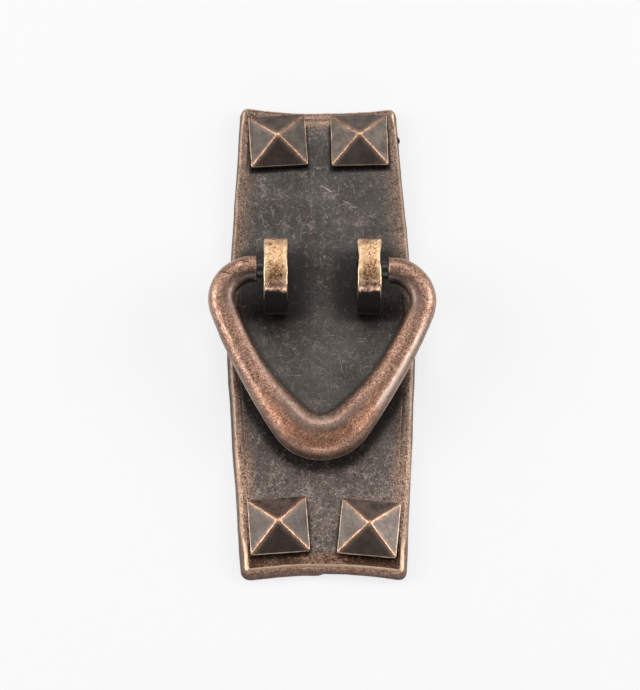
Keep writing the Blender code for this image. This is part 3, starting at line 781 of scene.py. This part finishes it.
def postPaint(name, seed, crownDarkPatch):
    paint = metalPaint(name, seed, posts["colours"])
    x, y, z = [paint.part(paint.spot, axis) for axis in "XYZ"]
    edge, crown = paint.mark("edge"), paint.mark("crown")
    grain = paint.noise(1.5, 4, 0.68, 1)
    patch = paint.noise(0.5, 3, 0.6, 2)
    dust = paint.noise(3.0, 3, 0.65, 3)
    fine = grain * 0.25 + dust * 0.45 + paint.noise(4.5, 2, 0.6, 6) * 0.3
    drift = paint.noise(0.35, 3, 0.6, 5)
    pit = paint.noise(1.1, 3, 0.6, 4, None, 0.6).step(0.57, 0.67)
    sides = (abs(x) + (fine - 0.5) * 1.6).step(1.2, 2.3)
    shoulder = y.fall(-5.6, -4.2) * (1 - sides)
    worn = (crown - 0.06 * shoulder + (grain - 0.5) * 0.8 + (patch - 0.5) * 0.8).step(0.26, 0.52)
    legs = (edge + (grain - 0.5) * 0.9 + (patch - 0.5) * 0.4 + (z - 14) * 0.12).step(0.6, 0.95)
    lower = (y + (patch - 0.5) * 2.5).fall(-4.8, -3.2)  # front shoulder, pinker and rougher
    middle = (abs(y + 1.9) + (patch - 0.5) * 4.0).fall(1.3, 3.0)  # the dark patch on the crown
    middle = middle * (abs(x) + (grain - 0.5)).fall(1.0, 2.1)
    rear = (y + (patch - 0.5) * 3).step(4.2, 6.0)
    bright = (fine - 0.012 * y.step(-1.0, 4.0)).step(0.4, 0.56)
    gold = paint.blend(bright, "goldDark", "gold")
    gold = paint.blend(drift.step(0.42, 0.62) * 0.5, gold, "drift")
    gold = paint.blend(pit * 0.75, gold, "pit")
    gold = paint.blend(middle * (0.5 * crownDarkPatch + 0.7 * (1 - fine).step(0.43, 0.54)), gold, "crownDarkPatch")
    pink = paint.blend(fine.step(0.42, 0.56), "pinkDark", "pink")
    gold = paint.blend(paint.most(lower * 0.85, rear * 0.55), gold, pink)
    gold = paint.blend(sides * fine.step(0.34, 0.48) * 0.7, gold, "edge")
    dark = paint.blend(dust.step(0.58, 0.76) * 0.4, "black", "brown")
    up = z - posts["pivot"][2]
    hole = (y * y + up * up).fall(5.4, 6.4)  # the pivot hole's wall, painted near black as shade
    share = paint.most(worn, legs * 0.85) * (1 - hole)
    paint.base = paint.blend(share, dark, gold)
    # painted shade inside the pivot hole
    paint.lay(hole, "bore")
    hem = z.fall(headBase + 0.3, headBase + 0.9) * y.fall(-6.2, -5.4)
    paint.lay(hem * 0.5, "hem")  # grey line along the front foot
    sole = z.fall(headBase + 0.15, headBase + 0.35) * grain.step(0.36, 0.5)
    sole = sole * (x * x + y * y).step(6.3, 7.2)  # not on the tenon
    paint.lay(sole * 0.5, "sole")
    metallic = 0.6 + 0.38 * share
    roughness = 0.56 - 0.2 * share + 0.3 * hole + (grain - 0.5) * 0.3
    height = 0.05 * patch + 0.06 * grain + 0.03 * dust - 0.06 * pit
    return paint.metal(metallic, roughness, height)


def makePosts():
    for side, name in ((-1, "left"), (1, "right")):
        mesh = postMesh(posts["pinch"][name])
        wear(mesh, posts["dents"], 11.0 + side, lambda vert: vert.co.z > (headBase + posts["dentsFrom"]) * mm)
        mesh.normal_update()
        crown = mesh.verts.layers.float["crown"]
        for vert in mesh.verts:
            vert[crown] = max(vert.normal.z, 0) if vert.co.z > posts["crownFrom"] * mm else 0
        made = piece(mesh, "post_" + name + "_shown")
        tenon = piece(cylinder(posts["tenonRadius"], 0, headBase + posts["tenonRoot"]), "tenon")
        combine(made, [tenon], "UNION")
        screw = piece(cylinder(posts["screwRadius"], cutStart, posts["screwDepth"]), "screwCut")
        bore = piece(cylinder(posts["pivotRadius"], -cutPast, cutPast), "boreCut")
        bore.matrix_world = moved(0, 0, posts["pivot"][2]) @ Matrix.Rotation(math.pi / 2, 4, "Y")
        bpy.context.view_layer.update()
        combine(made, [screw, bore], "DIFFERENCE")
        paint = postPaint("wornCopper" + name.title(), 6.1 + 3 * side, posts["crownDarkPatch"][name])
        dress(made, postPlace(side), paint, "plate", "post_" + name)
    print("posts 2")


# bail

bail = {
    "halfWidth": 22.3, "drop": 38.35, "bend": {"left": 6.9, "right": 7.1},
    "limbRadius": 82.0, "bottomRadius": 8.1,
    "armWidth": 5.9, "bottomWidth": 10.25, "armThickness": 5.5, "bottomThickness": 8.1, "swell": 15.0,
    "squareness": 2.25, "ridge": 0.16, "ridgeDeg": 6.0, "endRadius": 0.4, "turnDeg": -0.6, "armClearance": 1.4,
    "spigotRadius": 2.0, "spigotSetback": 0.5, "spigotChamfer": 0.25, "restGap": 0.3,
    "dents": [(2.6, 0.07), (0.9, 0.035)],
    "nicks": [(-23.0, -1.2, -21.6, -1.5), (-21.6, -1.5, -20.5, -2.0), (-17.4, 0.8, -16.5, 1.1)],
    "bendSteps": 26, "limbSteps": 44, "bottomSteps": 26, "sectionSteps": 52, "endSteps": 5,
    "colours": {
        "copperDark": (0.275, 0.118, 0.068), "copper": (0.64, 0.36, 0.245), "patch": (0.42, 0.215, 0.145),
        "blot": (0.33, 0.2, 0.155), "red": (0.57, 0.24, 0.132), "speck": (0.9, 0.68, 0.54),
        "pore": (0.06, 0.024, 0.014), "grey": (0.12, 0.09, 0.076), "pale": (0.68, 0.51, 0.43),
        "flank": (0.94, 0.77, 0.66), "innerShadeAndOil": (0.14, 0.1, 0.083), "armShadeAndOil": (0.045, 0.034, 0.03),
        "shade": (0.04, 0.025, 0.018), "seam": (0.85, 0.66, 0.54), "nick": (0.05, 0.025, 0.018),
        "endRim": (0.85, 0.62, 0.48), "spigot": (0.066, 0.064, 0.061),
    },
}


armFace = posts["spacing"] / 2 + posts["thickness"] / 2 + bail["armClearance"]


def bailHalf(bendRadius):
    # centreline of the right half as (point, outward way), X across and the drop below the pivot
    bend = Vector((bail["halfWidth"] - bendRadius, bendRadius))
    bottom = Vector((0, bail["drop"] - bail["bottomRadius"]))
    reachBend, reachBottom = bail["limbRadius"] - bendRadius, bail["limbRadius"] - bail["bottomRadius"]
    apart = bottom - bend
    along = (reachBend ** 2 - reachBottom ** 2 + apart.length_squared) / (2 * apart.length)
    across = math.sqrt(reachBend ** 2 - along ** 2)
    way = apart.normalized()
    limb = bend + way * along + Vector((-way.y, way.x)) * across
    bendEnd = math.atan2(bend.y - limb.y, bend.x - limb.x)
    limbEnd = math.atan2(bottom.y - limb.y, bottom.x - limb.x)
    half = [(Vector((armFace + bail["endRadius"], 0)), Vector((0, -1)))]
    arcs = (
        (bend, bendRadius, -math.pi / 2, bendEnd, bail["bendSteps"]),
        (limb, bail["limbRadius"], bendEnd, limbEnd, bail["limbSteps"]),
        (bottom, bail["bottomRadius"], limbEnd, math.pi / 2, bail["bottomSteps"]),
    )
    for centre, radius, start, end, steps in arcs:
        for i in range(steps):
            angle = start + (end - start) * i / steps
            way = Vector((math.cos(angle), math.sin(angle)))
            half.append((centre + way * radius, way))
    return half


def bailSection(centre, way, width, thickness, ridge, along, end=0.0):
    edge = bail["ridgeDeg"]
    span = 360 - 3 * edge
    angles = [-1.5 * edge, -edge, -0.5 * edge, 0, 0.5 * edge, edge]
    angles += [1.5 * edge + span * i / bail["sectionSteps"] for i in range(bail["sectionSteps"])]
    power = 2 / bail["squareness"]
    ring = []
    for degrees in angles:
        angle = math.radians(degrees)
        c, s = math.cos(angle), math.sin(angle)
        across = math.copysign(abs(c) ** power, c) * width / 2
        up = math.copysign(abs(s) ** power, s) * thickness / 2
        crest = max(1 - abs(degrees) / edge, 0)
        point = centre + way * (across + ridge * crest)
        ring.append(((point.x, -point.y, up), (c, s, along, crest if ridge else 0, end)))
    return ring


def bailRings():
    right, left = bailHalf(bail["bend"]["right"]), bailHalf(bail["bend"]["left"])
    mirrored = [(Vector((-p.x, p.y)), Vector((-w.x, w.y))) for p, w in reversed(left)]
    path = right + [(Vector((0, bail["drop"])), Vector((0, 1)))] + mirrored
    lengths = [0]
    for (a, _), (b, _) in zip(path, path[1:]):
        lengths.append(lengths[-1] + (b - a).length)
    lowest = lengths[len(right)]
    rings = []
    for (centre, way), length in zip(path, lengths):
        share = math.exp(-((length - lowest) / bail["swell"]) ** 2)
        width = bail["armWidth"] + (bail["bottomWidth"] - bail["armWidth"]) * share
        thickness = bail["armThickness"] + (bail["bottomThickness"] - bail["armThickness"]) * share
        rings.append(bailSection(centre, way, width, thickness, bail["ridge"], length - lowest))
    return bailEnd(1, lengths[0] - lowest) + rings + bailEnd(-1, lengths[-1] - lowest)[::-1]


def bailEnd(side, along):
    # spigot, flat end face and rounded edge of one arm
    tip = posts["spacing"] / 2 - posts["thickness"] / 2 + bail["spigotSetback"]
    up, size, radius = Vector((0, -1)), 2 * bail["spigotRadius"], bail["endRadius"]
    rings = []
    chamfer = bail["spigotChamfer"]
    for x, shrink in ((tip, chamfer), (tip + chamfer, 0), (armFace, 0)):
        ring = bailSection(Vector((x, 0)), up, size, size, 0, along, 1.0)
        radial = bail["spigotRadius"] - shrink
        rings.append([((x, *(Vector(p[1:]).normalized() * radial)), m) for p, m in ring])
    for i in range(bail["endSteps"]):
        angle = math.pi / 2 * i / bail["endSteps"]
        inset = radius * (1 - math.sin(angle))
        wide, thick = bail["armWidth"] - 2 * inset, bail["armThickness"] - 2 * inset
        centre = Vector((armFace + radius * (1 - math.cos(angle)), 0))
        rings.append(bailSection(centre, up, wide, thick, 0, along, 0.5))
    return [[((side * p[0], p[1], p[2]), m) for p, m in ring] for ring in rings]


def bailPaint():
    paint = metalPaint("satinCopperBail", 2.9, bail["colours"])
    outer, upper, along = paint.mark("outer"), paint.mark("upper"), paint.mark("along")
    crest, end = paint.mark("crest"), paint.mark("end")
    grain = paint.noise(1.3, 5, 0.75, 1)
    patch = paint.noise(0.22, 3, 0.6, 2)
    dust = paint.noise(2.6, 4, 0.75, 3)
    blot = paint.noise(0.6, 3, 0.6, 4)
    nick = 0
    for line in bail["nicks"]:
        nick = paint.most(nick, (paint.beside(line) + (dust - 0.5) * 0.35).fall(0.08, 0.24))
    speck = dust * 0.55 + paint.noise(4.4, 2, 0.6, 7) * 0.45
    away = abs(along)
    low, bend = away.fall(9.0, 20.0), away.step(31.0, 40.0)
    arm = away.step(44.0, 50.0)
    paint.base = paint.blend((grain * 0.5 + speck * 0.5).step(0.4, 0.58), "copperDark", "copper")
    paint.lay(patch.step(0.42, 0.62) * 0.35, "patch")
    paint.lay(blot.step(0.52, 0.7) * 0.35, "blot")
    # redder over the lowest curve, greyer inside it
    top = (abs(outer - 0.25) + (blot - 0.5) * 0.5).fall(0.2, 0.6)
    paint.lay(top * low * 0.72, "red")
    inward = (blot - 0.5) * 0.25 - outer
    grey = inward.step(-0.16, 0.08) * inward.fall(0.26, 0.44)
    pale = inward.step(0.3, 0.46) * inward.fall(0.62, 0.82)
    pale = pale * along.step(-12.0, 0.0) * (1 - bend)
    paint.lay(speck.step(0.53, 0.58) * 0.75, "speck")
    paint.lay(speck.fall(0.41, 0.47) * 0.85, "pore")
    paint.lay(grey * low * 0.72, "grey")
    # painted highlight: the pale band on the inner side of the left limb and the bottom, over worn copper
    paint.lay(pale * (0.33 + 0.05 * low), "pale")
    # the right limb's outer flank is brightest: painted highlight over pale worn copper
    flank = (-1 * along).step(11.0, 17.0) * (-1 * along).fall(30.0, 38.0)
    flank = flank * outer.step(0.36, 0.62) * (outer + (grain - 0.5) * 0.3).fall(0.74, 0.9)
    paint.lay(flank * 0.6, "flank")
    # the bends' inner side and the arms' front are darker: painted shade with their dark oil
    spared = arm * (0.24 + 0.16 * (-1 * along).step(0.0, 1.0))  # less on the arms, least on the right one
    innerShadeAndOil = ((blot - 0.5) * 0.4 - outer - spared).step(-0.12, 0.24) * bend
    paint.lay(innerShadeAndOil * 0.68, "innerShadeAndOil")
    paint.lay(innerShadeAndOil * arm * 0.8, "armShadeAndOil")
    hidden = (-1 * outer + (blot - 0.5) * 0.12).step(0.93 - 0.12 * low, 1.0 - 0.02 * low)
    skirt = (upper + (blot - 0.5) * 0.3).fall(-0.2, 0.12)  # below the parting line too
    rim = (outer + (grain - 0.5) * 0.2).step(0.55, 0.98)
    shade = paint.most(skirt * 0.9, hidden * 0.92, rim * (0.6 - 0.2 * bend))
    paint.lay(shade, "shade")
    paint.lay((crest + (grain - 0.5) * 0.8).step(0.45, 0.85) * 0.85, "seam")
    paint.lay(nick * 0.85, "nick")
    rims = end.step(0.3, 0.5) * end.fall(0.6, 0.9)
    paint.lay(rims * grain.step(0.4, 0.6) * 0.7, "endRim")
    spigot = end.step(0.7, 0.95)
    paint.lay(spigot, "spigot")
    metallic = 0.95 - 0.25 * paint.most(innerShadeAndOil, shade)
    roughness = 0.4 + 0.1 * shade + (dust - 0.5) * 0.25
    height = 0.06 * grain + 0.055 * dust + 0.05 * blot - 0.08 * nick
    return paint.metal(metallic, roughness, height, 0.5)


def bailPlace():
    rest = plate["thickness"] + bail["restGap"] + bail["bottomThickness"] / 2
    tilt = math.asin((posts["pivot"][2] - rest) / bail["drop"])
    place = Matrix.Translation((0, 0, posts["pivot"][2] * mm)) @ Matrix.Rotation(tilt, 4, "X")
    return pivotPlace() @ Matrix.Rotation(math.radians(bail["turnDeg"]), 4, "Z") @ place


def traceBail():
    # points of the resting bail's centreline in plan, with its half width at each
    rings = bailRings()
    tree, halves = kdtree.KDTree(len(rings)), []
    for index, ring in enumerate(rings):
        middle = sum((Vector(p) for p, _ in ring), Vector()) / len(ring)
        place = bailPlace() @ (middle * mm) / mm
        tree.insert((place.x, place.y, 0), index)
        halves.append(max((Vector(p) - middle).length for p, _ in ring))
    tree.balance()
    return tree, halves


def makeBail():
    mesh = loft(bailRings(), ("outer", "upper", "along", "crest", "end"))
    end = mesh.verts.layers.float["end"]
    wear(mesh, bail["dents"], 21.0, lambda vert: vert[end] == 0)
    made = piece(mesh, "bail_shown", 40)
    dress(made, bailPlace(), bailPaint(), "bail", "bail")
    print("bail", len(made.data.polygons), "faces")


bailTrace, bailHalves = traceBail()
makePlate()
makeStuds()
makePosts()
makeBail()

# floor, light and camera

studio = {
    "colours": {"floor": (0.94, 0.94, 0.937), "floorShade": (0.9306, 0.9306, 0.92763)},
    "floorGlow": 0.72, "floorHalf": 2.0, "floorDrop": 0.00005,
    "horizon": 0.5, "zenith": 0.22, "skySpan": (0.05, 0.65),
    "lamps": {  # where it stands in metres, size, strength as radiance
        "leftBox": ((-0.72, 0.08, 0.42), (0.6, 0.42), 4.6),
        "rightBox": ((0.72, 0.1, 0.42), (0.6, 0.42), 4.4),
        "backBox": ((0.0, 0.5, 0.8), (0.8, 0.45), 2.0),
        "frontBox": ((0.05, -0.82, 0.28), (0.8, 0.26), 2.3),
    },
    "aim": (0.0, 0.0, 0.005),
}

photoView = {
    "sensor": 36, "clip": 0.01, "lens": 190.22, "distance": 0.81816,
    "leanDeg": 23.705, "turnDeg": -0.403, "rollDeg": -0.749, "target": (-0.000284, -0.001296, 0.0),
}


def makeFloor():
    data = bpy.data.meshes.new("floor")
    half = studio["floorHalf"]
    corners = [(-half, -half, 0), (half, -half, 0), (half, half, 0), (-half, half, 0)]
    data.from_pydata(corners, [], [(0, 1, 2, 3)])
    floor = placed("floor", data)
    floor.location.z = -studio["floorDrop"]
    paint = Paint(bpy.data.materials.new("paleFloor"), studio["colours"])
    spread = paint.noise(3.0, 2, 0.5, 0, paint.node("TexCoord", {}, {}, 3))
    colour = paint.blend(spread, "floor", "floorShade")
    matt = paint.node("BsdfDiffuse", {}, {0: colour})
    glow = paint.node("Emission", {}, {"Color": (1, 1, 1, 1), "Strength": 1.0})
    seen = paint.most(*[paint.node("LightPath", {}, {}, ray) for ray in (0, 3)])  # camera and glossy rays
    mixed = paint.node("MixShader", {}, {0: seen * studio["floorGlow"], 1: matt, 2: glow})
    data.materials.append(paint.show(mixed))


def makeWorld():
    world = bpy.data.worlds.new("studio")
    bpy.context.scene.world = world
    sky = Paint(world, {}, 0.0, "OutputWorld")
    low, high = studio["skySpan"]
    up = sky.part(sky.node("TexCoord", {}, {}, 0), "Z")
    fade = up.step(low, high, studio["horizon"], studio["zenith"])
    sky.show(sky.node("Background", {}, {"Strength": fade}))


def makeLamps():
    for name, (place, size, radiance) in studio["lamps"].items():
        lamp = bpy.data.lights.new(name, "AREA")
        lamp.shape = "RECTANGLE"
        lamp.size, lamp.size_y = size
        lamp.energy = radiance * math.pi * size[0] * size[1]
        stand = placed(name, lamp)
        stand.location = place
        stand.rotation_euler = (Vector(studio["aim"]) - Vector(place)).to_track_quat("-Z", "Y").to_euler()


def makeCamera():
    lean, turn, roll = [math.radians(photoView[key]) for key in ("leanDeg", "turnDeg", "rollDeg")]
    flat = math.cos(turn)
    back = Vector((math.sin(turn), -math.sin(lean) * flat, math.cos(lean) * flat)).normalized()
    right = (-back).cross(Vector((0, 1, 0))).normalized()
    up = right.cross(-back)
    across = math.cos(roll) * right + math.sin(roll) * up
    upright = math.cos(roll) * up - math.sin(roll) * right
    eye = Vector(photoView["target"]) + back * photoView["distance"]
    data = bpy.data.cameras.new("photoCamera")
    data.sensor_width = photoView["sensor"]
    data.lens = photoView["lens"]
    data.clip_start = photoView["clip"]
    camera = placed("photoCamera", data)
    camera.matrix_world = Matrix([[across[i], upright[i], back[i], eye[i]] for i in range(3)] + [[0, 0, 0, 1]])
    bpy.context.scene.camera = camera


makeFloor()
makeWorld()
makeLamps()
makeCamera()
bpy.context.scene.view_settings.view_transform = "Standard"
print("studio ready")
